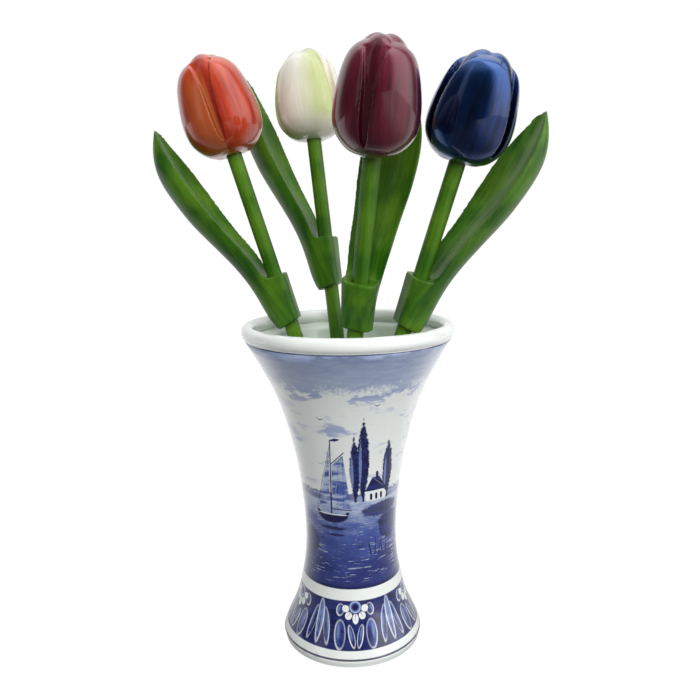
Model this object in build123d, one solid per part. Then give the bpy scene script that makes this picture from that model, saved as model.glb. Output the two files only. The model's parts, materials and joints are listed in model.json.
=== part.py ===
"""Four painted wooden tulips standing in a glazed earthenware vase.

Each tulip is a round stem with a carved head glued on its top and a carved leaf
bored to turn on the stem. The four stems stand on the floor of the vase, lean on
each other's way past its waist and come out over the lip.
Millimetres, +Z up, origin at the centre of the ring that the vase stands on.
"""

from build123d import *
from math import acos, cos, radians, sin
import os

# Vase: heights from the table, radii from its axis
vase_height = 190.0
lip_half_height = 4.2
lip_half_thickness = 3.4
lip_bed = 0.4  # the rolled lip sits this deep in the top of the wall
neck_radius = 58.7  # outside, just under the lip
lip_overhang = 1.5  # the lip's widest line stands this far outside the neck
waist_radius = 26.8  # outside, at the narrowest place
waist_height = 61.8
foot_radius = 41.5  # outside, at the widest line of the foot
foot_line_height = 4.2
base_radius = 40.6  # outside, where the foot meets the table
vase_wall = 5.5
floor_height = 7.6  # upper face of the floor that the stems stand on
foot_ring_width = 6.0
foot_recess = 2.4
lip_radius = neck_radius + lip_overhang
neck_height = vase_height - 2 * lip_half_height + lip_bed

# From the waist up to the neck: share of that height, share of the flare
neck_curve_shares = ((0.16, 0.024), (0.36, 0.11), (0.557, 0.268), (0.753, 0.51), (0.9, 0.785))
# From the waist down to the foot line: share of that height, share of the flare
foot_curve_shares = ((0.24, 0.072), (0.47, 0.235), (0.70, 0.50), (0.88, 0.82))

# Every cut runs this far past what it cuts
cut_overrun = 6.0

# Stem: a round dowel
stem_radius = 4.25
stem_end_round = 0.8
seat_gap = 0.05  # between the lowest edge of a stem and the floor

# Head: a turned body carved into three broad outer petals, round a bud of three more
petal_count = 3
tenon_depth = 15.0  # length of stem inside the head
tenon_end_gap = 0.5
glue_gap = 0.05
# Side of the turned body: share of the head's radius, share of its height
body_side_shares = (
    (0.0, 0.0), (0.30, 0.006), (0.56, 0.03), (0.79, 0.105), (0.93, 0.19), (1.0, 0.33),
    (0.98, 0.48), (0.914, 0.623), (0.81, 0.763), (0.685, 0.85), (0.50, 0.91),
    (0.27, 0.94), (0.0, 0.95),
)
# Groove between two outer petals: half its width as a share of the head's radius,
# share of the head's height
groove_shares = (
    (0.0, 0.11), (0.055, 0.15), (0.085, 0.21), (0.105, 0.33), (0.115, 0.48), (0.135, 0.63),
    (0.19, 0.77), (0.27, 0.87), (0.38, 0.93), (0.56, 1.0),
)
groove_floor_share = 0.45  # a groove starts this far out, inside the bud
# Side of one inner petal: share of its radius, share of the head's height
bud_side_shares = (
    (0.0, 0.0), (0.5, 0.012), (0.85, 0.14), (1.0, 0.35), (0.96, 0.58),
    (0.80, 0.78), (0.50, 0.92), (0.0, 0.985),
)
bud_petal_share = 0.62  # radius of one inner petal
bud_offset_share = 0.17  # from the head's axis to the middle of an inner petal

# Leaf: a collar round the stem that runs out into a hollowed blade
leaf_reach = 44.8  # from the stem's axis to the leaf's farthest point
leaf_half_width = 14.8
collar_back = 6.3  # from the stem's axis to the flat back of the collar
collar_corner_share = 0.60  # round of the collar's back corners, of its half width
collar_height_share = 0.236  # of the leaf's length
collar_slant = 3.2  # the foot of the collar rises this much towards its back
channel_depth = 5.5
leaf_clearance = 0.05  # round the stem, so that the leaf turns stiffly
# Along the leaf: share of its length, then the crown's and the rim's distance from
# the stem's axis as shares of the reach, then the share of the half width
leaf_station_shares = (
    (0.0, 0.163, 0.036, 0.57),
    (0.105, 0.277, 0.03, 0.56),
    (0.218, 0.350, 0.03, 0.635),
    (0.331, 0.471, 0.156, 0.723),
    (0.451, 0.643, 0.306, 0.81),
    (0.579, 0.821, 0.453, 0.94),
    (0.707, 0.946, 0.578, 1.0),
    (0.827, 1.0, 0.690, 0.87),
    (0.917, 0.953, 0.772, 0.56),
    (0.975, 0.890, 0.820, 0.24),
    (1.0, 0.860, 0.838, 0.06),
)
# The rim from the collar's flat top to the leaf's tip, and the channel between the
# two rims: share of the leaf's length, rim's distance from the stem's axis as a share
# of the reach, then the channel's shares of the half width and of its full depth
channel_station_shares = (
    (0.236, 0.06, 0.62, 0.08),
    (0.255, 0.105, 0.66, 0.25),
    (0.285, 0.128, 0.70, 0.42),
    (0.331, 0.164, 0.745, 0.55),
    (0.451, 0.306, 0.83, 0.78),
    (0.579, 0.453, 0.96, 0.95),
    (0.707, 0.578, 1.02, 1.0),
    (0.827, 0.690, 0.89, 0.8),
    (0.917, 0.772, 0.58, 0.45),
    (1.0, 0.842, 0.12, 0.1),
)

# Tulips: the usual sizes, which each hand-made tulip takes a share of
stem_length = 283.0  # below the head
leaf_length = 130.0
head_height = 54.0
head_radius = 21.0

# Each tulip: the shares of the vase's inner radius at which its stem stands on the
# floor and passes the neck, its shares of the usual sizes, how far up its stem the
# leaf sits, and the bearings that the leaf and one outer petal point to. Bearings
# are degrees from +X towards +Y.
tulips = {
    "orange": dict(
        floor_shares=(0.617, 0.100), neck_shares=(-0.5835, 0.1166),
        stem_share=1.0117, leaf_seat_share=0.6521, leaf_share=0.977, leaf_angle=173.3,
        head_height_share=1.022, head_radius_share=1.029, petal_angle=-30.0,
    ),
    "white": dict(
        floor_shares=(0.294, 0.244), neck_shares=(-0.1341, 0.5324),
        stem_share=1.0191, leaf_seat_share=0.6911, leaf_share=1.023, leaf_angle=162.6,
        head_height_share=0.985, head_radius_share=0.981, petal_angle=-102.0,
    ),
    "wine_red": dict(
        floor_shares=(-0.392, 0.589), neck_shares=(0.0610, -0.6554),
        stem_share=0.9936, leaf_seat_share=0.6800, leaf_share=0.921, leaf_angle=70.8,
        head_height_share=0.956, head_radius_share=0.94, petal_angle=-49.0,
    ),
    "blue": dict(
        floor_shares=(-0.664, -0.017), neck_shares=(0.5283, -0.4947),
        stem_share=0.9848, leaf_seat_share=0.6825, leaf_share=0.954, leaf_angle=17.5,
        head_height_share=0.978, head_radius_share=1.010, petal_angle=-99.0,
    ),
}


def inside_vase(shares, radius, height):
    """A point at shares of the vase's inner radius, at this height."""
    inner = radius - vase_wall
    return Vector(shares[0] * inner, shares[1] * inner, height)


def stem_axis(tulip):
    """The upward direction of a leaning stem."""
    stands = inside_vase(tulip["floor_shares"], foot_radius, floor_height)
    passes = inside_vase(tulip["neck_shares"], neck_radius, neck_height)
    return (passes - stands).normalized()


def stem_plane(tulip, along, bearing):
    """A plane square to the stem, this far along it, with its X axis at the bearing."""
    axis = stem_axis(tulip)
    lean = acos(axis.Z)
    foot_height = floor_height + seat_gap + stem_radius * sin(lean)
    foot = inside_vase(tulip["floor_shares"], foot_radius, foot_height)
    out = Vector(cos(radians(bearing)), sin(radians(bearing)), 0)
    out = (out - axis * out.dot(axis)).normalized()
    return Plane(origin=foot + axis * along, x_dir=out, z_dir=axis)


def stem_reach(tulip):
    """How far up its stem a tulip's head sits."""
    return stem_length * tulip["stem_share"]


def vase_outline(inset):
    """The vase's side from the foot line up to the neck, moved in by a wall."""
    drop = waist_height - foot_line_height
    flare = foot_radius - waist_radius
    points = [(foot_radius - inset, foot_line_height)]
    for down, out in reversed(foot_curve_shares):
        points.append((waist_radius + flare * out - inset, waist_height - drop * down))
    points.append((waist_radius - inset, waist_height))
    rise = neck_height - waist_height
    flare = neck_radius - waist_radius
    for up, out in neck_curve_shares:
        points.append((waist_radius + flare * out - inset, waist_height + rise * up))
    points.append((neck_radius - inset, neck_height))
    return points


def turned(face):
    """A solid turned about the Z axis from a half outline."""
    return revolve(face, axis=Axis.Z)


def make_vase():
    """A waisted vase: one turned wall, a rolled lip, a floor and a foot ring."""
    outer = vase_outline(0)
    inner = vase_outline(vase_wall)
    outer_edge = Spline(*outer)
    inner_edge = Spline(*reversed(inner))
    neck_edge = Line(outer[-1], inner[-1])
    foot_edge = Polyline(inner[0], (base_radius - vase_wall, 0), (base_radius, 0), outer[0])
    side = Plane.XZ * make_face([outer_edge, neck_edge, inner_edge, *foot_edge.edges()])
    lip_middle = Location((lip_radius - lip_half_thickness, vase_height - lip_half_height))
    lip = Plane.XZ * (lip_middle * Ellipse(lip_half_thickness, lip_half_height))
    body = turned(side) + turned(lip)
    floor = Pos(0, 0, foot_recess) * Cylinder(
        foot_radius - vase_wall / 2, floor_height - foot_recess,
        align=(Align.CENTER, Align.CENTER, Align.MIN),
    )
    ring = Cylinder(base_radius, foot_recess, align=(Align.CENTER, Align.CENTER, Align.MIN))
    ring -= Cylinder(
        base_radius - foot_ring_width, foot_recess, align=(Align.CENTER, Align.CENTER, Align.MIN)
    )
    return body + floor + ring


def make_stem(tulip):
    """A round dowel from the floor of the vase up into the head."""
    length = stem_reach(tulip) + tenon_depth
    stem = Cylinder(stem_radius, length, align=(Align.CENTER, Align.CENTER, Align.MIN))
    stem = chamfer(stem.edges().filter_by(GeomType.CIRCLE), stem_end_round)
    return stem_plane(tulip, 0, tulip["leaf_angle"]) * stem


def turned_egg(side_shares, radius, height):
    """An egg turned from its side, given in shares of its radius and height."""
    points = [(radius * out, height * up) for out, up in side_shares]
    curve = Spline(*points, tangents=[(1, 0), (-1, 0)], tangent_scalars=(1, 1))
    return turned(Plane.XZ * make_face([curve, Line(points[-1], points[0])]))


def groove(radius, height):
    """What is carved away between two outer petals, as a block that points along X."""
    right = [(radius * out, height * up) for out, up in groove_shares]
    left = [(-out, up) for out, up in right]
    edges = [Spline(*right), Spline(*reversed(left)), Line(right[-1], left[-1])]
    return Pos(radius * groove_floor_share, 0, 0) * extrude(Plane.YZ * make_face(edges), radius)


def all_round(piece):
    """One copy of a piece for each petal, spaced round the head's axis."""
    return [Rot(0, 0, 360 / petal_count * turn) * piece for turn in range(petal_count)]


def make_head(tulip):
    """A tulip head: three outer petals round a three-part bud, bored for the stem."""
    height = head_height * tulip["head_height_share"]
    radius = head_radius * tulip["head_radius_share"]
    between = Rot(0, 0, 180 / petal_count)
    body = turned_egg(body_side_shares, radius, height)
    body -= all_round(between * groove(radius, height))
    inner = turned_egg(bud_side_shares, radius * bud_petal_share, height)
    bud = all_round(between * Pos(radius * bud_offset_share, 0, 0) * inner)
    bore = Pos(0, 0, -cut_overrun) * Cylinder(
        stem_radius + glue_gap, cut_overrun + tenon_depth + tenon_end_gap,
        align=(Align.CENTER, Align.CENTER, Align.MIN),
    )
    head = body + bud - bore
    return stem_plane(tulip, stem_reach(tulip), tulip["petal_angle"]) * head


def leaf_section(crown, rim, half_width):
    """Across the leaf: a flat back with round corners, two sides and a half round crown."""
    back = -collar_back
    corner = half_width * collar_corner_share
    inside = half_width - corner
    return [
        Line((back, inside), (back, -inside)),
        CenterArc((back + corner, -inside), corner, 180, 90),
        Line((back + corner, -half_width), (rim, -half_width)),
        EllipticalCenterArc((rim, 0), crown - rim, half_width, start_angle=-90, arc_size=180),
        Line((rim, half_width), (back + corner, half_width)),
        CenterArc((back + corner, inside), corner, 90, 90),
    ]


def channel_section(rim, half_width, depth):
    """Across the channel: everything on the stem's side of a dished line."""
    back = -leaf_reach
    return [
        Line((back, half_width), (back, -half_width)),
        Line((back, -half_width), (rim, -half_width)),
        Spline((rim, -half_width), (rim + depth, 0), (rim, half_width)),
        Line((rim, half_width), (back, half_width)),
    ]


def rim_cut(length):
    """Everything above the collar's flat top and on the stem's side of the rim."""
    top = length * collar_height_share
    rim = [(leaf_reach * out, length * along) for along, out, wide, deep in channel_station_shares]
    end = (rim[-1][0], length + cut_overrun)
    back = -collar_back - cut_overrun
    edges = [
        Spline(*rim, tangents=[(1, 0), (1, 2)], tangent_scalars=(1, 1)),
        Polyline(rim[-1], end, (back, end[1]), (back, top), rim[0]),
    ]
    side = Plane.XZ * make_face([edges[0], *edges[1].edges()])
    return extrude(side, leaf_half_width + cut_overrun, both=True)


def make_leaf(tulip):
    """A carved leaf: a block with a rounded outside, hollowed, then bored for the stem."""
    length = leaf_length * tulip["leaf_share"]
    block = loft([
        Plane.XY.offset(length * along)
        * make_face(leaf_section(leaf_reach * crown, leaf_reach * rim, leaf_half_width * wide))
        for along, crown, rim, wide in leaf_station_shares
    ])
    channel = loft([
        Plane.XY.offset(length * along)
        * make_face(channel_section(leaf_reach * rim, leaf_half_width * wide, channel_depth * deep))
        for along, rim, wide, deep in channel_station_shares
    ])
    slant = Polyline(
        (-collar_back - cut_overrun, -cut_overrun), (leaf_reach, -cut_overrun),
        (leaf_reach, 0), (collar_back, 0), (-collar_back, collar_slant),
        (-collar_back - cut_overrun, collar_slant), close=True,
    )
    foot_cut = extrude(Plane.XZ * make_face(slant), leaf_half_width, both=True)
    bore = Pos(0, 0, -cut_overrun) * Cylinder(
        stem_radius + leaf_clearance, length + 2 * cut_overrun,
        align=(Align.CENTER, Align.CENTER, Align.MIN),
    )
    leaf = block - rim_cut(length) - channel - foot_cut - bore
    seat = stem_reach(tulip) * tulip["leaf_seat_share"]
    return stem_plane(tulip, seat, tulip["leaf_angle"]) * leaf


def save(part, node):
    """Write one piece as a STEP file named after its node."""
    export_step(part, f"parts/{node}.step")


os.makedirs("parts", exist_ok=True)
save(make_vase(), "vase")
for colour, tulip in tulips.items():
    save(make_stem(tulip), f"{colour}_stem")
    save(make_head(tulip), f"{colour}_head")
    save(make_leaf(tulip), f"{colour}_leaf")
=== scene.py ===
# %% [markdown]
# # Four wooden tulips in a blue and white vase
#
# This lesson dresses a measured model of a folk ornament: four tulips carved from
# wood and painted with gloss paint, standing loose in a glazed earthenware vase.
# The measured model is the fixed frame. Every piece that we add sits exactly where
# the frame says, in metres, and moves with one of the frame's bodies.

# %% Load the frame
import json
from math import cos, pi, radians, sin

import bpy
from mathutils import Matrix, Vector

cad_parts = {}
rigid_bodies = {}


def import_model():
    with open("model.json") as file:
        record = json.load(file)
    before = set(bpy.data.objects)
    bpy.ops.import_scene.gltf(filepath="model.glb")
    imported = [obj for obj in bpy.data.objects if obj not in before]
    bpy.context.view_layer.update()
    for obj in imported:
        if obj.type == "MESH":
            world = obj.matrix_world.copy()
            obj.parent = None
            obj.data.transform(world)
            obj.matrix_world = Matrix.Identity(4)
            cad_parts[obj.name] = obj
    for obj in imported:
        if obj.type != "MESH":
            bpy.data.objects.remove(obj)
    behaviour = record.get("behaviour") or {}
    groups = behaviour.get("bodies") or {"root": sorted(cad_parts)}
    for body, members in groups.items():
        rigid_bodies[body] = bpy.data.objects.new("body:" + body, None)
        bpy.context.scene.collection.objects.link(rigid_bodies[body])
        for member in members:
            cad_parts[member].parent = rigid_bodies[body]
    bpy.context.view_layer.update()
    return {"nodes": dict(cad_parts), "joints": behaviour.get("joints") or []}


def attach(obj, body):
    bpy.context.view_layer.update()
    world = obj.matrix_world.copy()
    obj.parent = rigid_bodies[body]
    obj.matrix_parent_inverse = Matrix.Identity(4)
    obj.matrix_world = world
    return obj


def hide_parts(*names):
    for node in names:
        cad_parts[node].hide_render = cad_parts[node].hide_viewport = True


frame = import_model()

print("pieces in the frame:", sorted(frame["nodes"]))

# %% [markdown]
# ## The camera
#
# The photograph was taken from a little above the lip of the vase, looking down by
# about eleven degrees, with a lens of about 36 mm. The same place and lens give the
# same foreshortening: the lip is a narrow ellipse and the foot a rounder one.

# %% Place the camera
camera_place = Vector((0, -0.3936, 0.24753))
camera_down, camera_turn, camera_roll = 0.18609, 0.00264, -0.0155
camera_lens = 36.03

camera_data = bpy.data.cameras.new("camera")
camera_data.lens = camera_lens
camera_data.sensor_width = 36
camera_data.clip_start = 0.01
camera = bpy.data.objects.new("camera", camera_data)
bpy.context.scene.collection.objects.link(camera)
camera.matrix_world = (
    Matrix.Translation(camera_place)
    @ Matrix.Rotation(-camera_turn, 4, "Z")
    @ Matrix.Rotation(pi / 2 - camera_down, 4, "X")
    @ Matrix.Rotation(camera_roll, 4, "Z")
)
bpy.context.scene.camera = camera
bpy.context.scene.view_settings.view_transform = "Standard"
print("camera stands", round(-camera_place.y, 3), "m in front of the vase")

# %% [markdown]
# ## The studio
#
# Gloss paint shows what is round it more than its own colour, so the studio matters.
# The tulips stand in a white room that is dark behind the camera: the middles of
# the heads stay deep, and their edges turn pale. The right side of the room glows
# and gives the broad highlights, and a narrow strip on the left the thin ones.

# %% Floor
floor_size = 8
bpy.ops.object.select_all(action="DESELECT")
bpy.ops.mesh.primitive_plane_add(size=floor_size, location=(0, 0, 0))
floor = bpy.context.object
floor.name = "floor"
print("floor is", floor_size, "m wide")


# %% [markdown]
# Every finish here is a sheet of nodes, the digital stand-in for mixing a pot of
# paint. One small helper adds a node and hands back its output, so that a finish reads
# as a line of sums and not as a drawing of wires.

# %% A helper that adds nodes
class Sheet:
    """One node tree. Each call adds a node and gives back its output socket."""

    def __init__(self, tree):
        self.tree = tree

    def put(self, kind, inputs=None, output=0, **settings):
        """Add a node, set it, feed its inputs and give back one output."""
        node = self.tree.nodes.new(kind)
        for name, value in settings.items():
            setattr(node, name, value)
        for name, value in (inputs or {}).items():
            self.feed(node.inputs[name], value)
        return node.outputs[output]

    def feed(self, socket, value):
        """Link another node's output to a socket, or set it to a constant."""
        if isinstance(value, bpy.types.NodeSocket):
            self.tree.links.new(value, socket)
        else:
            socket.default_value = value

    def math(self, operation, *values, clamp=False):
        inputs = dict(enumerate(values))
        return self.put("ShaderNodeMath", inputs, operation=operation, use_clamp=clamp)

    def vector(self, operation, *values, output=0):
        inputs = dict(enumerate(values))
        return self.put("ShaderNodeVectorMath", inputs, output, operation=operation)

    def axes(self, place, *wanted):
        """The numbers of a place along the wanted axes, 0 to 2."""
        return [self.put("ShaderNodeSeparateXYZ", {0: place}, axis) for axis in wanted]

    def blend(self, share, under, over):
        """A colour that goes from under to over as the share goes from 0 to 1."""
        # The node has one set of sockets for each kind of data: these are the colours
        node = self.tree.nodes.new("ShaderNodeMix")
        node.data_type = "RGBA"
        self.feed(node.inputs[0], share)
        self.feed(node.inputs[6], under)
        self.feed(node.inputs[7], over)
        return node.outputs[2]

    def span(self, value, low, high, to_low=0.0, to_high=1.0, smooth=True):
        """The value's place between low and high, eased at both ends."""
        kind = "SMOOTHSTEP" if smooth else "LINEAR"
        inputs = {0: value, 1: low, 2: high, 3: to_low, 4: to_high}
        return self.put("ShaderNodeMapRange", inputs, interpolation_type=kind)

    def noise(self, place, scale, detail=3.0, rough=0.5, output=0):
        inputs = {"Vector": place, "Scale": scale, "Detail": detail, "Roughness": rough}
        return self.put("ShaderNodeTexNoise", inputs, output)


def paint_colour(red, green, blue):
    """A colour given as on a paint chart, 0 to 255, made linear for the shader."""
    steps = (red / 255, green / 255, blue / 255)
    return tuple((c / 12.92 if c < 0.04 else ((c + 0.055) / 1.055) ** 2.4) for c in steps) + (1,)


print("sheet helper ready, mid grey is", round(paint_colour(128, 128, 128)[0], 3))

# %% [markdown]
# The tulips stand on white paper. The camera sees it as pure white. What the gloss
# mirrors of it is dim in front and bright behind and to the right, or else the lower
# half of each head would turn grey.

# %% Floor finish
floor_material = bpy.data.materials.new("pale_floor")
floor_material.use_nodes = True
floor_shader = floor_material.node_tree.nodes["Principled BSDF"]
floor_sheet = Sheet(floor_material.node_tree)
floor_place = floor_sheet.put("ShaderNodeTexCoord", output="Object")
sideways, depth = floor_sheet.axes(floor_place, 0, 1)
dim, bright_behind, bright_right = 0.05, 0.9, 0.6
bounced = floor_sheet.math(
    "MAXIMUM",
    floor_sheet.span(depth, -0.12, 0.2, dim, bright_behind),
    floor_sheet.span(sideways, 0.05, 0.7, dim, bright_right),
)
seen = floor_sheet.put("ShaderNodeLightPath", output="Is Camera Ray")
emission = floor_sheet.span(seen, 0, 1, bounced, 1.0)
floor_sheet.feed(floor_shader.inputs["Emission Strength"], emission)
floor_shader.inputs["Roughness"].default_value = 0.8
floor_shader.inputs["Specular IOR Level"].default_value = 0.1
floor_shader.inputs["Base Color"].default_value = (0.03, 0.03, 0.03, 1)
floor_shader.inputs["Emission Color"].default_value = (1, 1, 1, 1)
floor.data.materials.append(floor_material)
print("floor is pale, and bright behind the vase")

# %% [markdown]
# A studio has walls, and each wall shows in the gloss as a patch. The room is drawn by
# the direction that a ray leaves in: how far round the vase from the camera, and how
# far up. Each glowing part fades in and out over some degrees, as a soft box does.

# %% White room
world = bpy.data.worlds.new("white_room")
bpy.context.scene.world = world
world.use_nodes = True
room = Sheet(world.node_tree)
look = room.put("ShaderNodeTexCoord", output="Generated")
right, back, up = room.axes(look, 0, 1, 2)
# Turn round the vase, in degrees: 0 towards the camera, 90 to the right
turn = room.math("ARCTAN2", right, room.math("MULTIPLY", back, -1.0))
turn = room.math("DEGREES", turn)
right_side = room.math("MULTIPLY", room.span(turn, 24, 52), room.span(turn, 108, 88))
left_strip = room.math("MULTIPLY", room.span(turn, -64, -58), room.span(turn, -40, -48))
rear = room.math("ADD", room.span(turn, 112, 130), room.span(turn, -104, -124))
above = room.span(up, 0.72, 0.92)
glow = 0.04
for part, strength in ((right_side, 1.5), (left_strip, 0.4), (rear, 0.8), (above, 0.5)):
    glow = room.math("MULTIPLY_ADD", part, strength, glow)
seen = room.put("ShaderNodeLightPath", output="Is Camera Ray")
grey = room.put("ShaderNodeCombineColor", {0: glow, 1: glow, 2: glow})
shade = room.blend(seen, grey, (1, 1, 1, 1))
backdrop = world.node_tree.nodes["Background"]
room.feed(backdrop.inputs["Color"], shade)
backdrop.inputs["Strength"].default_value = 1.0
print("room: dark behind the camera, light on the right, behind and above")


# %% [markdown]
# Walls alone leave the front too dark. One soft light over the camera fills it. It
# lights the paint and isn't mirrored in it, because no such square shows in the
# photograph.

# %% Lights
def soft_light(name, place, aim, size, power):
    """A square soft light that faces a point."""
    data = bpy.data.lights.new(name, "AREA")
    data.shape = "RECTANGLE"
    data.size, data.size_y = size
    data.energy = power
    light = bpy.data.objects.new(name, data)
    bpy.context.scene.collection.objects.link(light)
    light.location = place
    light.rotation_euler = (Vector(aim) - Vector(place)).to_track_quat("-Z", "Y").to_euler()
    return light


fill_place, fill_aim = (0.1, -1.0, 0.75), (0, 0, 0.12)
fill_size, fill_watts = (0.8, 0.8), 12
front_fill = soft_light("front_fill", fill_place, fill_aim, fill_size, fill_watts)
front_fill.visible_glossy = False
print("one fill light that lights the front and isn't mirrored in the gloss")

# %% [markdown]
# ## Softening the carving
#
# The measured heads and leaves have the crisp arrises that a gouge leaves. On the
# real ones every arris is sanded round and filled by its coats of paint. A copy of
# the measured piece is laid over with an even skin of small faces and then relaxed,
# which rounds each arris and leaves the broad forms alone. The leaves are rubbed
# longer than the heads, because the grooves between the petals have to stay.

# %% Soften a measured piece
colours = ("orange", "white", "wine_red", "blue")


def copy_of(node_name, name, merge):
    """A copy of a measured piece in its place, its loose faces merged. Ends in edit mode."""
    source = frame["nodes"][node_name]
    bpy.ops.object.select_all(action="DESELECT")
    source.hide_set(False)
    source.select_set(True)
    bpy.context.view_layer.objects.active = source
    bpy.ops.object.duplicate()
    piece = bpy.context.object
    piece.name = name
    # The frame's own marks stay with the measured piece
    for key in list(piece.keys()):
        del piece[key]
    bpy.ops.object.parent_clear(type="CLEAR_KEEP_TRANSFORM")
    bpy.ops.object.transform_apply(location=True, rotation=True, scale=True)
    piece.data.materials.clear()
    bpy.ops.object.mode_set(mode="EDIT")
    bpy.ops.mesh.select_all(action="SELECT")
    bpy.ops.mesh.remove_doubles(threshold=merge)
    return piece


def soften(node_name, skin, passes):
    """A copy of a measured piece, skinned with small faces and rubbed smooth."""
    piece = copy_of(node_name, node_name + "_carved", merge=0.000002)
    bpy.ops.mesh.normals_make_consistent(inside=False)
    bpy.ops.object.mode_set(mode="OBJECT")
    laid = piece.modifiers.new("skin", "REMESH")
    laid.mode = "VOXEL"
    laid.voxel_size = skin
    laid.use_smooth_shade = True
    rubbed = piece.modifiers.new("rubbed", "SMOOTH")
    rubbed.factor = 0.5
    rubbed.iterations = passes
    for name in ("skin", "rubbed"):
        bpy.ops.object.modifier_apply(modifier=name)
    bpy.ops.object.shade_smooth()
    return piece


skin_size = 0.0005
head_passes, leaf_passes = 8, 20
carved = {}
for colour in colours:
    carved[colour + "_head"] = soften(colour + "_head", skin_size, head_passes)
    carved[colour + "_leaf"] = soften(colour + "_leaf", skin_size, leaf_passes)
    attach(carved[colour + "_head"], colour + "_tulip")
    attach(carved[colour + "_leaf"], colour + "_leaf")
    for kind in ("_head", "_leaf"):
        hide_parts(colour + kind)
        print(colour + kind, len(carved[colour + kind].data.polygons), "faces")

# %% [markdown]
# ## Where each tulip points
#
# Brush marks on the real tulips run the way the painter pulled the brush: up the
# petals, along the blade and up the stem. So each finish needs to know its piece's
# own lengthwise direction. The joints in the record give every stem's line, and a
# petal's bearing tells which way a head is turned.

# %% Lines of the stems
joints = {joint["name"]: joint for joint in frame["joints"]}
petal_bearing = {"orange": -30, "white": -102, "wine_red": -49, "blue": -99}


def own_frame(along, towards, middle):
    """Where a piece's own zero point is and how its Z and X axes lie."""
    z_axis = along.normalized()
    x_axis = (towards - z_axis * towards.dot(z_axis)).normalized()
    turned = Matrix((x_axis, z_axis.cross(x_axis), z_axis)).transposed()
    return middle, turned.to_euler()


def ends_along(piece, axis):
    """How far a piece reaches along an axis, least and most, in metres."""
    reach = [vertex.co.dot(axis) for vertex in piece.data.vertices]
    return min(reach), max(reach)


stem_frames, head_frames, leaf_frames = {}, {}, {}
for colour in colours:
    axis = Vector(joints[colour + "_lift"]["axis"]).normalized()
    seat = Vector(joints[colour + "_leaf_turn"]["pos_m"])
    bearing = radians(petal_bearing[colour])
    head, leaf = carved[colour + "_head"], carved[colour + "_leaf"]
    low, high = ends_along(head, axis)
    base = seat + axis * (low - seat.dot(axis))
    head_frames[colour] = own_frame(axis, Vector((cos(bearing), sin(bearing), 0)), base)
    tip = max((vertex.co for vertex in leaf.data.vertices), key=lambda place: place.dot(axis))
    leaf_frames[colour] = own_frame(tip - seat, tip - seat - axis, seat)
    stem_frames[colour] = own_frame(axis, Vector((1, 0, 0)), seat)
    print(colour, "head is", round((high - low) * 1000, 1), "mm high")


# %% [markdown]
# ## Brush marks
#
# Gloss paint levels out as it dries, but the wood and the coats beneath leave long
# soft streaks in it. One node group makes them for every painted piece: it draws out
# a noise along the piece, and gives a broad streak for the colour and a fine one for
# the relief.

# %% A group that makes brush marks
def new_group(name, inputs, outputs):
    """An empty node group with its sockets, and the sheet to fill it."""
    tree = bpy.data.node_groups.new(name, "ShaderNodeTree")
    for socket, kind in inputs.items():
        tree.interface.new_socket(socket, in_out="INPUT", socket_type="NodeSocket" + kind)
    for socket, kind in outputs.items():
        tree.interface.new_socket(socket, in_out="OUTPUT", socket_type="NodeSocket" + kind)
    start = tree.nodes.new("NodeGroupInput")
    end = tree.nodes.new("NodeGroupOutput")
    return Sheet(tree), start.outputs, end.inputs


brush, given, result = new_group(
    "brush_marks",
    {"Drawn Place": "Vector", "Width": "Float"},
    {"Streak": "Float", "Fine": "Float"},
)
wide = brush.vector("SCALE", given["Drawn Place"])
brush.feed(wide.node.inputs["Scale"], brush.math("DIVIDE", 1.0, given["Width"]))
broad = brush.noise(wide, 1.0, detail=2.5, rough=0.55)
fine = brush.noise(wide, 4.3, detail=3.0, rough=0.6)
brush.feed(result["Streak"], brush.span(broad, 0.3, 0.7))
brush.feed(result["Fine"], fine)
brush_marks = brush.tree
print("brush marks:", len(brush_marks.nodes), "nodes")


# %% [markdown]
# A painter turns the piece in the hand, so the marks follow the piece and not the
# room. These helpers start a finish, place a group in it, and give each point its
# place in the piece's own frame.

# %% Helpers for a finish
def new_finish(name):
    """A material, its sheet and its main shader."""
    material = bpy.data.materials.new(name)
    material.use_nodes = True
    shader = material.node_tree.nodes["Principled BSDF"]
    return material, Sheet(material.node_tree), shader


def use_group(sheet, group, inputs, output=0):
    """Place a group in a sheet. Gives one output, or the whole node for output=None."""
    node = sheet.tree.nodes.new("ShaderNodeGroup")
    node.node_tree = group
    for name, value in inputs.items():
        sheet.feed(node.inputs[name], value)
    return node.outputs[output] if output is not None else node


def own_place(sheet, at):
    """A point's place in the piece's own frame, in metres."""
    middle, turned = at
    place = sheet.put("ShaderNodeTexCoord", output="Object")
    inputs = {"Vector": place, "Location": middle, "Rotation": turned}
    return sheet.put("ShaderNodeMapping", inputs, vector_type="TEXTURE")


def put_on(piece, material):
    """Give a piece one finish."""
    piece.data.materials.clear()
    piece.data.materials.append(material)


print("finish helpers ready")

# %% [markdown]
# ## The green of stems and leaves
#
# One pot of green does all the stems and leaves. It is a warm leaf green under a
# thick gloss, darker where the brush left less of it, and the streaks follow the
# piece. The relief is shallow, so that highlights wave a little but stay bright.

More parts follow.
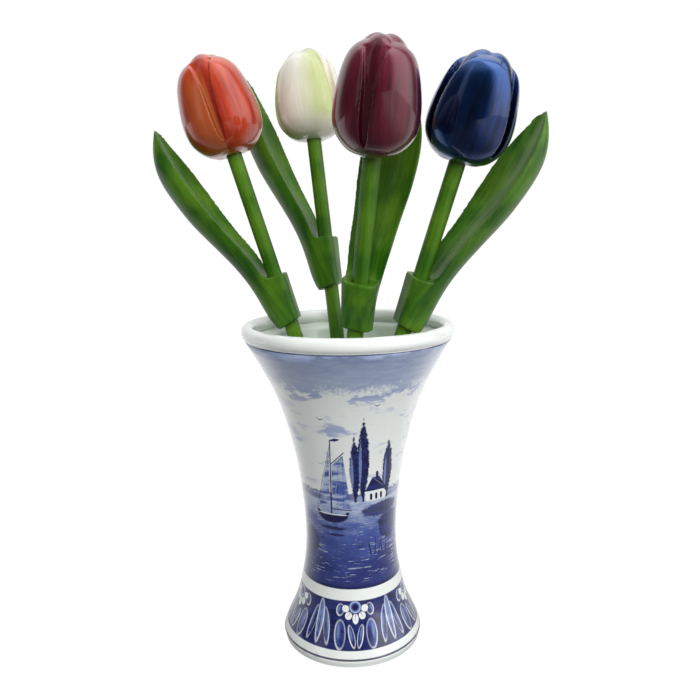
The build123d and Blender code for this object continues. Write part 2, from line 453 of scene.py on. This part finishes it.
# %% Green paint
def green_finish(name, at, light):
    """Green gloss with streaks along the piece; light says how much of it is pale."""
    material, sheet, shader = new_finish(name)
    place = own_place(sheet, at)
    drawn = sheet.vector("MULTIPLY", place, (1, 1, 0.07))
    marks = use_group(sheet, brush_marks, {"Drawn Place": drawn, "Width": 0.0032}, None)
    cloud = sheet.span(sheet.noise(place, 38, detail=2), 0.35, 0.65)
    deep, mid, bright = (paint_colour(*c) for c in ((32, 76, 14), (62, 112, 20), (116, 160, 36)))
    green = sheet.blend(sheet.math("MULTIPLY", marks.outputs["Streak"], 0.75), deep, mid)
    top = sheet.math("MULTIPLY", sheet.math("MULTIPLY", marks.outputs["Fine"], cloud), light)
    green = sheet.blend(top, green, bright)
    sheet.feed(shader.inputs["Base Color"], green)
    shader.inputs["Roughness"].default_value = 0.42
    shader.inputs["Specular IOR Level"].default_value = 0.3
    shader.inputs["Coat Weight"].default_value = 0.2
    shader.inputs["Coat Roughness"].default_value = 0.12
    relief = sheet.math("MULTIPLY_ADD", marks.outputs["Streak"], 0.6, marks.outputs["Fine"])
    normal = sheet.put("ShaderNodeBump", {"Height": relief, "Distance": 0.00012, "Strength": 0.7})
    sheet.feed(shader.inputs["Normal"], normal)
    return material


for colour in colours:
    stem_green = green_finish(colour + "_stem_green", stem_frames[colour], 0.8)
    put_on(frame["nodes"][colour + "_stem"], stem_green)
    leaf_green = green_finish(colour + "_leaf_green", leaf_frames[colour], 0.7)
    put_on(carved[colour + "_leaf"], leaf_green)
print("eight green pieces")

# %% [markdown]
# ## The heads
#
# Each head has its own colour, brushed upwards from the stem. A second, darker
# colour follows the grooves between the petals as painted shade, and a lighter one
# the tops as painted highlight. The angle round the head, folded into three, gives
# the place on a petal: zero at its middle, sixty degrees at a groove.

# %% Place on a petal
petal_place, given, result = new_group(
    "petal_place",
    {"Own Place": "Vector", "Height": "Float"},
    {"Side": "Float", "Groove": "Float", "Up": "Float", "Drawn": "Vector"},
)
x, y, z = petal_place.axes(given["Own Place"], 0, 1, 2)
angle = petal_place.math("DEGREES", petal_place.math("ARCTAN2", y, x))
half_petal = 60.0
folded = petal_place.math("ADD", angle, half_petal)
folded = petal_place.math("FLOORED_MODULO", folded, 2 * half_petal)
folded = petal_place.math("SUBTRACT", folded, half_petal)
up = petal_place.math("DIVIDE", z, given["Height"])
flat = petal_place.vector("MULTIPLY", given["Own Place"], (1, 1, 0))
round_axis = petal_place.vector("SCALE", petal_place.vector("NORMALIZE", flat))
petal_place.feed(round_axis.node.inputs["Scale"], 0.02)
along = petal_place.vector("MULTIPLY", given["Own Place"], (0, 0, 0.09))
petal_place.feed(result["Side"], petal_place.math("DIVIDE", folded, half_petal))
off_middle = petal_place.math("ABSOLUTE", folded)
petal_place.feed(result["Groove"], petal_place.span(off_middle, 36, 59))
petal_place.feed(result["Up"], up)
petal_place.feed(result["Drawn"], petal_place.vector("ADD", round_axis, along))
print("petal place:", len(petal_place.tree.nodes), "nodes")


# %% [markdown]
# The paint itself: a body colour, a deeper one in the grooves as painted shade, a
# lighter one on the shoulders as painted highlight, and a clear hard gloss over all.
# The blue pot has a metallic sheen, so it is nearly black where the room is dark and
# bright where the room glows.

# %% Head paint
def head_finish(colour, deep, mid, light, pearl, width=0.0021):
    """Gloss paint brushed up the petals. Returns what a head needs for more paint."""
    material, sheet, shader = new_finish(colour + "_gloss")
    low, high = ends_along(carved[colour + "_head"], Vector(joints[colour + "_lift"]["axis"]))
    place = own_place(sheet, head_frames[colour])
    petal = use_group(sheet, petal_place.tree, {"Own Place": place, "Height": high - low}, None)
    drawn = petal.outputs["Drawn"]
    marks = use_group(sheet, brush_marks, {"Drawn Place": drawn, "Width": width}, None)
    cloud = sheet.span(sheet.noise(place, 45, detail=2), 0.3, 0.7)
    body = sheet.blend(marks.outputs["Streak"], paint_colour(*deep), paint_colour(*mid))
    # Painted highlight: the tops of the petals are lighter; the mix below adds it to the lighter
    # worn streaks
    top_highlight = sheet.math("MULTIPLY", sheet.span(petal.outputs["Up"], 0.45, 0.95), 0.55)
    worn = sheet.math("MULTIPLY", marks.outputs["Fine"], 0.6)
    thin = sheet.math("MULTIPLY_ADD", cloud, worn, top_highlight, clamp=True)
    body = sheet.blend(thin, body, paint_colour(*light))
    # Painted shade: the grooves between the petals go to the deeper colour
    groove_shade = sheet.math("MULTIPLY", petal.outputs["Groove"], 0.75)
    body = sheet.blend(groove_shade, body, paint_colour(*deep))
    sheet.feed(shader.inputs["Base Color"], body)
    shader.inputs["Metallic"].default_value = pearl
    shader.inputs["Roughness"].default_value = 0.3
    shader.inputs["Coat Weight"].default_value = 1.0
    shader.inputs["Coat Roughness"].default_value = 0.04
    relief = sheet.math("MULTIPLY_ADD", marks.outputs["Streak"], 0.7, marks.outputs["Fine"])
    normal = sheet.put("ShaderNodeBump", {"Height": relief, "Distance": 0.0001, "Strength": 0.5})
    sheet.feed(shader.inputs["Normal"], normal)
    put_on(carved[colour + "_head"], material)
    return sheet, shader, petal, marks, body


head_finish("wine_red", (58, 6, 18), (98, 16, 38), (122, 38, 64), 0.35)
head_finish("blue", (10, 26, 62), (22, 58, 132), (46, 100, 178), 0.97)
print("wine red and blue heads painted")

# %% [markdown]
# On the orange head a tan brown is laid on one side of each petal, from the middle of a
# petal to its groove: a painted reflection of the green leaves beside it.

# %% Orange head
sheet, shader, petal, marks, body = head_finish(
    "orange", (142, 30, 14), (188, 52, 18), (204, 76, 32), 0.05
)
side = sheet.math("MULTIPLY_ADD", marks.outputs["Fine"], 0.2, petal.outputs["Side"])
# Painted reflection of the green leaves: tan brown on one side of each petal
leaf_reflection_share = sheet.math(
    "MULTIPLY", sheet.span(side, 0.1, 0.8), sheet.span(petal.outputs["Up"], 0.9, 0.6)
)
leaf_reflected = sheet.blend(sheet.math("MULTIPLY", leaf_reflection_share, 0.55), body, paint_colour(184, 104, 52))
sheet.feed(shader.inputs["Base Color"], leaf_reflected)
print("orange head painted, with tan brown at one side of each petal")

# %% [markdown]
# The white head carries a thin green glaze over cream on one side of each petal. A
# rosy beige on the other side is a painted reflection of the orange head, and the
# colour turns a darker grey olive towards the stem.

# %% White head
sheet, shader, petal, marks, body = head_finish(
    "white", (222, 216, 196), (232, 230, 216), (242, 242, 234), 0.0, width=0.0012
)
side = sheet.math("MULTIPLY_ADD", marks.outputs["Fine"], 0.25, petal.outputs["Side"])
green_share = sheet.math("MULTIPLY", sheet.span(side, -0.1, 0.75), sheet.span(side, 1.22, 1.1))
green_share = sheet.math("MULTIPLY", green_share, sheet.span(petal.outputs["Up"], 0.04, 0.3))
green_share = sheet.math("MULTIPLY", green_share, sheet.span(marks.outputs["Streak"], -1.6, 0.8))
glazed = sheet.blend(sheet.math("MULTIPLY", green_share, 0.85), body, paint_colour(172, 186, 96))
# Painted reflection of the orange head: rosy beige on the other side of each petal
rosy_reflection_share = sheet.math(
    "MULTIPLY", sheet.span(side, 0.1, -0.5), sheet.span(petal.outputs["Up"], 0.75, 0.3)
)
glazed = sheet.blend(sheet.math("MULTIPLY", rosy_reflection_share, 0.45), glazed, paint_colour(205, 172, 150))
# Darker grey olive towards the stem
base_share = sheet.math("MULTIPLY", sheet.span(petal.outputs["Up"], 0.2, 0.02), 0.5)
glazed = sheet.blend(base_share, glazed, paint_colour(150, 150, 118))
sheet.feed(shader.inputs["Base Color"], glazed)
print("white head painted")

# %% [markdown]
# ## Painting on the vase
#
# The vase is white earthenware painted in cobalt blue under a clear glaze. A painter
# works on it with loaded brush strokes: a wash is wide and wet with a ragged edge, a
# stroke is a drop or a leaf, and dark outlines come last. The sheet below does the
# same. Every stroke is a small shape in millimetres: how far round the vase from its
# front, and how high above the table. A few node groups draw the shapes, and each
# colour is laid over the last.

# %% Shapes that the brush makes
def shape_group(name, extra):
    """A group that takes a place on the vase and gives the mask of one shape."""
    edges = {"Soft": "Float", "Wobble": "Float"}
    inputs = {"Place": "Vector", "Middle": "Vector"} | extra | edges
    return new_group(name, inputs, {"Mask": "Float"})


def finish_shape(sheet, given, result, inside):
    """Turn a distance that is above zero inside the shape into a mask."""
    ragged = sheet.math("ADD", inside, given["Wobble"])
    low = sheet.math("MULTIPLY", given["Soft"], -1.0)
    sheet.feed(result["Mask"], sheet.span(ragged, low, given["Soft"]))
    return sheet.tree


def local_place(sheet, given):
    """The place seen from the shape's own middle, turned and scaled to its half size."""
    away = sheet.vector("SUBTRACT", given["Place"], given["Middle"])
    inputs = {"Vector": away, "Angle": given["Turn"]}
    turned = sheet.put("ShaderNodeVectorRotate", inputs, rotation_type="Z_AXIS")
    return sheet.vector("DIVIDE", turned, given["Half"])


sheet, given, result = shape_group("oval_stroke", {"Half": "Vector", "Turn": "Float"})
out = sheet.vector("LENGTH", local_place(sheet, given), output="Value")
oval_stroke = finish_shape(sheet, given, result, sheet.math("SUBTRACT", 1.0, out))

sheet, given, result = shape_group("leaf_stroke", {"Half": "Vector", "Turn": "Float"})
x, y = sheet.axes(local_place(sheet, given), 0, 1)
width = sheet.math("SUBTRACT", 1.0, sheet.math("MULTIPLY", y, y))
inside = sheet.math("SUBTRACT", width, sheet.math("ABSOLUTE", x))
leaf_stroke = finish_shape(sheet, given, result, inside)

sheet, given, result = shape_group(
    "line_stroke", {"Reach": "Vector", "Width": "Float", "End Width": "Float"}
)
away = sheet.vector("SUBTRACT", given["Place"], given["Middle"])
share = sheet.math(
    "DIVIDE", sheet.vector("DOT_PRODUCT", away, given["Reach"], output="Value"),
    sheet.vector("DOT_PRODUCT", given["Reach"], given["Reach"], output="Value"), clamp=True,
)
nearest = sheet.vector("SCALE", given["Reach"])
sheet.feed(nearest.node.inputs["Scale"], share)
gap = sheet.vector("LENGTH", sheet.vector("SUBTRACT", away, nearest), output="Value")
width = sheet.span(share, 0, 1, given["Width"], given["End Width"], smooth=False)
line_stroke = finish_shape(sheet, given, result, sheet.math("SUBTRACT", width, gap))

sheet, given, result = shape_group("sail_stroke", {"Foot": "Vector", "Peak": "Vector"})
sides = []
corners = (given["Middle"], given["Foot"], given["Peak"])
for start, end in zip(corners, corners[1:] + corners[:1]):
    edge = sheet.vector("NORMALIZE", sheet.vector("SUBTRACT", end, start))
    across = sheet.vector("CROSS_PRODUCT", edge, sheet.vector("SUBTRACT", given["Place"], start))
    sides += sheet.axes(across, 2)
inside = sheet.math("MINIMUM", sides[0], sheet.math("MINIMUM", sides[1], sides[2]))
sail_stroke = finish_shape(sheet, given, result, inside)
print("oval, leaf, line and sail strokes")


# %% [markdown]
# Cobalt comes from one pot. Thinned with more or less water it gives every blue on
# the vase, from a wash like ice to a line that is nearly black.

# %% Cobalt
ink = {
    "navy": paint_colour(24, 28, 74),
    "deep": paint_colour(42, 50, 112),
    "mid": paint_colour(74, 92, 162),
    "pale": paint_colour(132, 152, 204),
    "ice": paint_colour(186, 200, 222),
    "white": paint_colour(238, 243, 240),
}
print("cobalt in", len(ink) - 1, "strengths on white")


# %% [markdown]
# The painter works on a curved wall but thinks of it as flat. The sheet does the same:
# it unrolls the wall into millimetres, lays one stroke over another, and is then
# fired, which puts the gloss on.

# %% The painter's sheet
class Painter:
    """Lays strokes of cobalt over one part of the vase, in millimetres round and up it."""

    def __init__(self, name):
        self.finish, self.sheet, self.glaze = new_finish(name)
        sheet = self.sheet
        self.colour = ink["white"]
        object_place = sheet.put("ShaderNodeTexCoord", output="Object")
        self.in_mm = sheet.vector("SCALE", object_place)
        self.in_mm.node.inputs["Scale"].default_value = 1000
        x, y, self.high = sheet.axes(self.in_mm, 0, 1, 2)
        level = sheet.vector("MULTIPLY", self.in_mm, (1, 1, 0))
        self.out_mm = sheet.vector("LENGTH", level, output="Value")
        backward = sheet.math("MULTIPLY", y, -1.0)
        self.degrees = sheet.math("DEGREES", sheet.math("ARCTAN2", x, backward))
        self.place = self.flat_place(self.degrees)
        uneven = sheet.noise(self.in_mm, 0.55, detail=3, rough=0.6)
        self.ragged = sheet.math("SUBTRACT", uneven, 0.5)
        stretched = sheet.vector("MULTIPLY", self.in_mm, (0.08, 0.08, 0.35))
        self.grain = sheet.noise(stretched, 1.0, detail=4, rough=0.6)
        away = sheet.vector("NORMALIZE", sheet.vector("MULTIPLY", object_place, (1, 1, 0)))
        normal = sheet.put("ShaderNodeTexCoord", output="Normal")
        facing_out = sheet.vector("DOT_PRODUCT", normal, away, output="Value")
        self.outside = sheet.span(facing_out, 0.0, 0.15)

    def flat_place(self, degrees):
        """Millimetres round the vase and up it, as one place on a flat sheet."""
        across = self.sheet.math("MULTIPLY", self.sheet.math("RADIANS", degrees), self.out_mm)
        return self.sheet.put("ShaderNodeCombineXYZ", {0: across, 1: self.high})

    def heights(self, low, low_full, high_full, high):
        """A band between two heights, with a soft edge below and above."""
        rising = self.sheet.span(self.high, low, low_full)
        return self.within(rising, self.sheet.span(self.high, high, high_full))

    def stroke(self, group, middle, soft=0.25, wobble=0.0, **more):
        """The mask of one shape from a group."""
        inputs = {"Place": self.place, "Middle": middle + (0,), "Soft": soft}
        inputs |= {name.replace("_", " "): value for name, value in more.items()}
        if wobble:
            inputs["Wobble"] = self.sheet.math("MULTIPLY", self.ragged, wobble)
        return use_group(self.sheet, group, inputs)

    def oval(self, middle, half, turn=0.0, soft=0.12, wobble=0.0):
        """A drop of half this size, turned by some degrees."""
        return self.stroke(oval_stroke, middle, soft, wobble, Half=half + (1,), Turn=-radians(turn))

    def leaf(self, middle, half, turn=0.0, soft=0.12, wobble=0.0):
        """A stroke that is pointed at both ends, turned by some degrees."""
        return self.stroke(leaf_stroke, middle, soft, wobble, Half=half + (1,), Turn=-radians(turn))

    def line(self, start, end, width=0.3, end_width=None, soft=0.15, wobble=0.0):
        """A line that may thin out or swell towards its end."""
        reach = (end[0] - start[0], end[1] - start[1], 0)
        last = width if end_width is None else end_width
        return self.stroke(
            line_stroke, start, soft, wobble, Reach=reach, Width=width, End_Width=last
        )

    def sail(self, tack, clew, peak, soft=0.2):
        """A triangle, its corners given against the clock."""
        return self.stroke(sail_stroke, tack, soft, Foot=clew + (0,), Peak=peak + (0,))

    def all_of(self, masks):
        """One mask that covers all the given ones."""
        whole = masks[0]
        for mask in masks[1:]:
            whole = self.sheet.math("MAXIMUM", whole, mask)
        return whole

    def within(self, mask, *limits):
        """A mask cut back to where the others are too."""
        for limit in limits:
            mask = self.sheet.math("MULTIPLY", mask, limit)
        return mask

    def mottled(self, light, dark, value=None, low=0.38, high=0.62):
        """A wash that runs from one strength of cobalt to another."""
        value = self.grain if value is None else value
        return self.sheet.blend(self.sheet.span(value, low, high), ink[light], ink[dark])

    def lay(self, mask, paint, strength=1.0):
        """Lay an ink, or a wash, over what is there."""
        share = mask if strength == 1.0 else self.sheet.math("MULTIPLY", mask, strength)
        over = ink[paint] if isinstance(paint, str) else paint
        self.colour = self.sheet.blend(share, self.colour, over)

    def fire(self):
        """Glaze the sheet, with painted shade inside below the lip, and put the gloss on."""
        sheet, glaze = self.sheet, self.glaze
        # Painted shade: inside the vase the white turns a greyer pale green below the lip
        below_lip = sheet.span(self.high, 188, 178)
        inner = sheet.blend(below_lip, ink["white"], paint_colour(186, 202, 184))
        whole = sheet.blend(self.outside, inner, self.colour)
        sheet.feed(glaze.inputs["Base Color"], whole)
        glaze.inputs["Roughness"].default_value = 0.12
        glaze.inputs["Coat Weight"].default_value = 1.0
        glaze.inputs["Coat IOR"].default_value = 1.55
        glaze.inputs["Coat Roughness"].default_value = 0.03
        glaze.inputs["Sheen Weight"].default_value = 0.3
        glaze.inputs["Sheen Roughness"].default_value = 0.35
        uneven = sheet.noise(self.in_mm, 0.09, detail=2)
        relief = {"Height": uneven, "Distance": 0.0006, "Strength": 0.35}
        sheet.feed(glaze.inputs["Normal"], sheet.put("ShaderNodeBump", relief))
        print(self.finish.name, "has", len(sheet.tree.nodes), "nodes")
        return self.finish


# %% [markdown]
# The broad washes come first and run right round the vase: sky under the lip, a ragged
# far shore, and water that deepens towards the viewer. The ragged edges come from a
# noise, because a wet wash never ends in a clean line.

# %% Sky, shore and water
# Bands up the vase in millimetres: where each starts, is full, is still full and ends
lip_line = (181.0, 181.3, 181.8, 182.1)
water_band = (40.7, 41.2, 92.4, 93.4)
border_band = (9.0, 9.6, 34.3, 34.9)
foot_line = (3.9, 4.3, 5.0, 5.4)


def paint_sky(p):
    """Clouds, the dabs of the brush, and the wash under the lip."""
    sheet = p.sheet
    slow = sheet.vector("MULTIPLY", p.in_mm, (0.05, 0.05, 0.13))
    drift = sheet.noise(slow, 1.0, detail=5, rough=0.62)
    clouds = p.within(sheet.span(drift, 0.51, 0.65), p.heights(100, 108, 136, 158))
    p.lay(clouds, "pale", 0.75)
    p.lay(p.within(sheet.span(drift, 0.5, 0.56), p.heights(147, 158, 178, 180)), "pale", 0.8)
    edge = sheet.math("MULTIPLY_ADD", p.ragged, 16.0, p.high)
    wash = p.within(sheet.span(edge, 157, 165.5), sheet.span(p.high, 181.9, 181.2))
    deepening = sheet.span(p.high, 150, 200, 0.1, 0.4)
    strength = sheet.math("MULTIPLY_ADD", p.grain, 0.45, deepening)
    p.lay(wash, p.mottled("ice", "mid", strength, 0.1, 1.05))


def paint_shore(p):
    """A ragged line of far land at the edge of the water."""
    top = p.sheet.math("MULTIPLY_ADD", p.ragged, 9.0, 98.5)
    under = p.sheet.span(p.sheet.math("SUBTRACT", top, p.high), -0.3, 0.5)
    p.lay(p.within(under, p.sheet.span(p.high, 92.5, 93.5)), p.mottled("pale", "deep"), 0.85)


def paint_water(p):
    """Strokes along the water, paler at the far shore and dark at the near edge."""
    sheet = p.sheet
    flat = sheet.vector("MULTIPLY", p.in_mm, (0.12, 0.12, 0.9))
    ripple = sheet.noise(flat, 1.0, detail=5, rough=0.65)
    p.water = p.heights(*water_band)
    nearer = sheet.span(p.high, 96, 50, -0.05, 0.6, smooth=False)
    broad = sheet.noise(sheet.vector("MULTIPLY", p.in_mm, (0.04, 0.04, 0.1)), 1.0, detail=3)
    depth = sheet.math("MULTIPLY_ADD", broad, 0.7, sheet.math("MULTIPLY_ADD", ripple, 0.55, nearer))
    depth = sheet.math("SUBTRACT", depth, 0.28)
    shallow = p.mottled("ice", "mid", depth, 0.25, 0.62)
    p.lay(p.water, sheet.blend(sheet.span(depth, 0.55, 1.02), shallow, ink["deep"]))
    p.lay(p.within(sheet.span(ripple, 0.57, 0.65), p.heights(43, 48, 84, 91)), "ice", 0.75)
    p.lay(p.within(sheet.span(ripple, 0.42, 0.35), p.heights(41, 42, 74, 90)), "navy", 0.7)
    p.lay(p.within(sheet.span(p.high, 43.5, 41.6), p.water), "navy", 0.8)


print("sky, shore and water")


# %% [markdown]
# Trees and a house stand on the far shore. The painter pulls one leaf-shaped stroke
# for a poplar and two for a roof. The ground line is a height on the vase that both
# share.

# %% Poplars and farmhouse
ground = 92


def paint_poplars(p, trees):
    """Pointed crowns with a pale side and a thin trunk."""
    crowns = p.all_of([p.leaf(at, half, turn, soft=0.14, wobble=0.9) for at, half, turn in trees])
    p.lay(crowns, p.mottled("deep", "navy", p.ragged, -0.16, 0.1))
    sides = [((at[0] - 1.6, at[1] - 2), (0.8, half[1] * 0.6), turn) for at, half, turn in trees]
    lit = p.all_of([p.leaf(at, half, turn, soft=0.3, wobble=1.6) for at, half, turn in sides])
    p.lay(p.within(lit, crowns), "pale", 0.75)
    trunks = [
        p.line((at[0], ground), (at[0], at[1] - half[1] * 0.7), 0.45) for at, half, turn in trees
    ]
    p.lay(p.all_of(trunks), "navy")


def paint_house(p, left, wide, tall):
    """A long white farmhouse with a dark hipped roof, a door and windows."""
    right = left + wide
    eaves, ridge = ground + tall, ground + tall * 2.2
    middle = ground + tall / 2
    p.lay(p.line((left + 2, middle), (right - 2, middle), tall / 2), "white")
    near, far = (left + 3, ridge), (right - 3.5, ridge)
    eave_left, eave_right = (left - 1.5, eaves), (right + 1.5, eaves)
    slope = p.all_of([p.sail(eave_left, eave_right, near), p.sail(near, eave_right, far)])
    p.lay(slope, p.mottled("deep", "navy"))
    sill, lintel = ground + 2.2, ground - 0.2 + tall * 0.7
    openings = [left + share * wide / 3.4 for share in (0.7, 1.7, 2.7)]
    details = [p.line((across, sill), (across, lintel), 0.75) for across in openings]
    details.append(p.line((left - 1, ground), (right + 2, ground), 0.7, wobble=0.8))
    details.append(p.line((far[0] - 1.5, ridge), (far[0] - 1.5, ridge + 2.6), 0.8))
    p.lay(p.all_of(details), "navy")


print("poplars and a farmhouse")


# %% [markdown]
# Near the viewer the banks are one dark stroke each, and reeds are quick lines that
# thin out towards the tip.

# %% Banks and reeds
def paint_banks(p):
    """Dark banks that run down into the water, with reeds on the nearest."""
    banks = (((19, 87), (13, 4.2), 3), ((25, 76), (9, 9), 8), ((-27, 66), (7, 8), -8))
    land = p.all_of([p.oval(at, half, turn, wobble=0.5) for at, half, turn in banks])
    p.lay(p.within(land, p.water), p.mottled("deep", "navy", low=0.42, high=0.6), 0.9)
    reeds = []
    first, apart, waterline = 11.5, 2.6, 60
    for step in range(5):
        foot = first + apart * step
        lean, tall = ((-1.4, 7.5), (0.3, 10.5), (1.5, 8.2))[step % 3]
        reeds.append(p.line((foot, waterline), (foot + lean, waterline + tall), 0.42, 0.12))
    p.lay(p.all_of(reeds), "navy")


print("banks and reeds")


# %% [markdown]
# The barge is the darkest thing on the water, so it is laid on late. Its hull is half
# an oval, its sails are three triangles of pale wash, and its spars are single lines.

# %% Sailing barge
def paint_barge(p):
    """A flat barge under sail, with its shadow broken up on the water."""
    belly = p.within(p.oval((-10.5, 85), (9.2, 5), 0, soft=0.06), p.sheet.span(p.high, 84.9, 84.5))
    ends = [p.line((-19.5, 86.4), (-16, 83.6), 0.8), p.line((-1.6, 86.2), (-4.5, 83.4), 0.8)]
    spars = [
        p.line((-11, 84), (-11, 131), 0.42, 0.28), p.line((-11, 129), (-20.5, 86), 0.13),
        p.line((-11, 88.6), (0.4, 88.2), 0.28), p.line((-11, 116), (-3.6, 123.5), 0.3),
    ]
    sails = p.all_of([
        p.sail((-10.4, 89.5), (0, 89.2), (-4, 122)),
        p.sail((-10.4, 89.5), (-4, 122), (-10.4, 115.5)),
        p.sail((-19, 88.5), (-12, 92), (-11.6, 125)),
    ])
    p.lay(sails, p.mottled("ice", "mid"))
    seams = [p.line((-7.6, 89.5), (-6.4, 119), 0.12), p.line((-4, 89.5), (-4, 121), 0.12)]
    p.lay(p.within(p.all_of(seams), sails), "deep", 0.7)
    p.lay(p.all_of([belly] + ends + spars), "navy")
    p.lay(p.line((-18.6, 85.3), (-2.6, 85.1), 0.3), "white", 0.9)
    p.lay(p.leaf((-8.4, 131.2), (2.8, 0.9), 8, soft=0.2), "deep")
    shadow = [((-10.5, 76.6), (7.5, 1.1)), ((-9, 72.6), (5.2, 0.8))]
    p.lay(p.all_of([p.oval(at, half, wobble=1.4) for at, half in shadow]), "navy", 0.85)


def paint_birds(p, places):
    """Two short strokes for each bird."""
    wings = []
    for at in places:
        wings.append(p.line(at, (at[0] - 2, at[1] + 1.1), 0.28, 0.1))
        wings.append(p.line(at, (at[0] + 2.1, at[1] + 0.9), 0.28, 0.1))
    p.lay(p.all_of(wings), "deep")


print("barge and birds")


# %% [markdown]
# The border is a common pattern for such a foot, and it repeats five times. Each
# repeat is its own mirror image, so the sheet is folded: a stroke painted once shows
# ten times. A petal is laid white and then again smaller in blue, which leaves a rim.

# %% Border round the foot
def paint_border(p):
    """Five blossoms between five fans of leaves, each with a white rim, on dark blue."""
    sheet = p.sheet
    repeats, first_blossom = 5, 3.0
    half_turn = 180.0 / repeats
    fold = sheet.math("ADD", p.degrees, half_turn - first_blossom)
    fold = sheet.math("FLOORED_MODULO", fold, 2 * half_turn)
    repeat = sheet.math("ABSOLUTE", sheet.math("SUBTRACT", fold, half_turn))
    blossoms = p.flat_place(repeat)
    fans = p.flat_place(sheet.math("SUBTRACT", half_turn, repeat))
    field = p.heights(*border_band)
    p.lay(field, p.mottled("navy", "deep", low=0.35, high=0.6))
    blue = p.mottled("mid", "deep", low=0.35, high=0.65)
    light = p.mottled("pale", "mid", low=0.35, high=0.65)
    strokes = [
        (blossoms, (9.3, 17), (3.2, 7.4), 6, blue), (blossoms, (8.6, 29.6), (2.2, 3.4), 14, blue),
        (blossoms, (2.5, 16.2), (1.7, 5.8), -12, blue), (fans, (4.6, 20.5), (1.9, 9.5), 14, blue),
        (fans, (0, 22.5), (2.2, 11.5), 0, light),
    ]
    for place, at, half, turn, fill in strokes:
        p.place = place
        p.lay(p.within(p.oval(at, half, turn, soft=0.1), field), "white", 0.95)
        inner = (half[0] - 0.42, half[1] - 0.5)
        body = p.oval((at[0] - 0.12, at[1] + 0.25), inner, turn, soft=0.14)
        p.lay(p.within(body, field), fill)
        low_left = (at[0] - half[0] * 0.3, at[1] - half[1] * 0.3)
        shade = p.oval(low_left, (half[0] * 0.55, half[1] * 0.62), turn, soft=0.5)
        p.lay(p.within(shade, field), "navy", 0.55)
        high_right = (at[0] + half[0] * 0.25, at[1] + half[1] * 0.25)
        glint = p.oval(high_right, (half[0] * 0.3, half[1] * 0.5), turn, soft=0.6)
        p.lay(p.within(glint, field), "pale", 0.6)
    veins = [p.line((0, 14), (0, 29), 0.35, 0.1), p.line((4.6, 15), (3.4, 26), 0.3, 0.1)]
    p.lay(p.all_of(veins), "navy", 0.7)
    p.place = blossoms
    petals = [((5.4, 30.4), (2.0, 1.9), 0), ((3.9, 26.6), (1.9, 2.1), 40), ((0, 25), (1.7, 2.7), 0)]
    p.lay(p.within(p.all_of([p.oval(at, half, turn) for at, half, turn in petals]), field), "white")
    creases = [p.line((0, 27.6), (0, 24), 0.22, 0.08), p.line((3, 28.2), (4.6, 25.8), 0.2, 0.08)]
    p.lay(p.all_of(creases), "mid", 0.8)
    for radius, paint in ((3.6, "mid"), (3.1, "ice"), (2.5, "mid"), (1.7, "navy")):
        p.lay(p.within(p.oval((0, 31.2), (radius, radius)), field), paint)
    p.lay(p.heights(*foot_line), "navy", 0.9)


print("five blossoms between five fans")

# %% [markdown]
# All strokes on one sheet rendered black, so the vase's skin is cut into three: the
# front, the rear and the foot. Each has its own sheet. They meet where both are white
# or where both show the same sky and water, so no seam is seen.

# %% Three sheets
parts_of_skin = ("front", "rear", "foot")
front_sheet, rear_sheet, foot_sheet = (Painter(f"glaze_{part}") for part in parts_of_skin)
for p in (front_sheet, rear_sheet):
    paint_sky(p)
    paint_shore(p)
paint_poplars(front_sheet, [
    ((2.6, 113), (2.9, 20), 1), ((7.2, 118), (3.4, 25), -1), ((22.5, 111), (3.4, 18), -2),
])
paint_house(front_sheet, 9.5, 11, 7)
rear_sheet.place = rear_sheet.flat_place(rear_sheet.sheet.math(
    "SUBTRACT", rear_sheet.sheet.math("FLOORED_MODULO", rear_sheet.degrees, 360.0), 180.0,
))
paint_poplars(rear_sheet, [
    ((-14, 111), (4, 17), 0), ((-8.5, 115), (3.6, 21), 1), ((14, 107), (4.4, 13), 0),
])
paint_house(rear_sheet, -3, 10, 6)
for p in (front_sheet, rear_sheet):
    paint_water(p)
paint_banks(front_sheet)
paint_barge(front_sheet)
paint_birds(front_sheet, [(-16, 143), (15, 151)])
paint_birds(rear_sheet, [(6, 138), (-3, 144)])
paint_border(foot_sheet)
for p in (front_sheet, rear_sheet):
    p.lay(p.heights(*lip_line), "navy", 0.9)
vase_finishes = [p.fire() for p in (front_sheet, rear_sheet, foot_sheet)]

# %% [markdown]
# The glazed wall is a copy of the measured vase, and its form stays as it was thrown.
# It is only scored along two lines, so that each face belongs to one sheet: round the
# white band above the foot, and down both sides between front and rear.

# %% Skin of the vase
vase_skin = copy_of("vase", "glazed_vase", merge=0.00001)
white_band = 0.0375
for middle, normal in (((0, 0, white_band), (0, 0, 1)), ((0, 0, 0), (0, 1, 0))):
    bpy.ops.mesh.select_all(action="SELECT")
    bpy.ops.mesh.bisect(plane_co=middle, plane_no=normal)
bpy.ops.object.mode_set(mode="OBJECT")
bpy.ops.object.shade_smooth_by_angle(angle=radians(35))
for finish in vase_finishes:
    vase_skin.data.materials.append(finish)
front, rear, foot = range(len(vase_finishes))
for face in vase_skin.data.polygons:
    if face.center.z < white_band:
        face.material_index = foot
    else:
        face.material_index = rear if face.center.y > 0 else front
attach(vase_skin, "vase")
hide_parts("vase")
print("vase skin:", len(vase_skin.data.polygons), "faces")
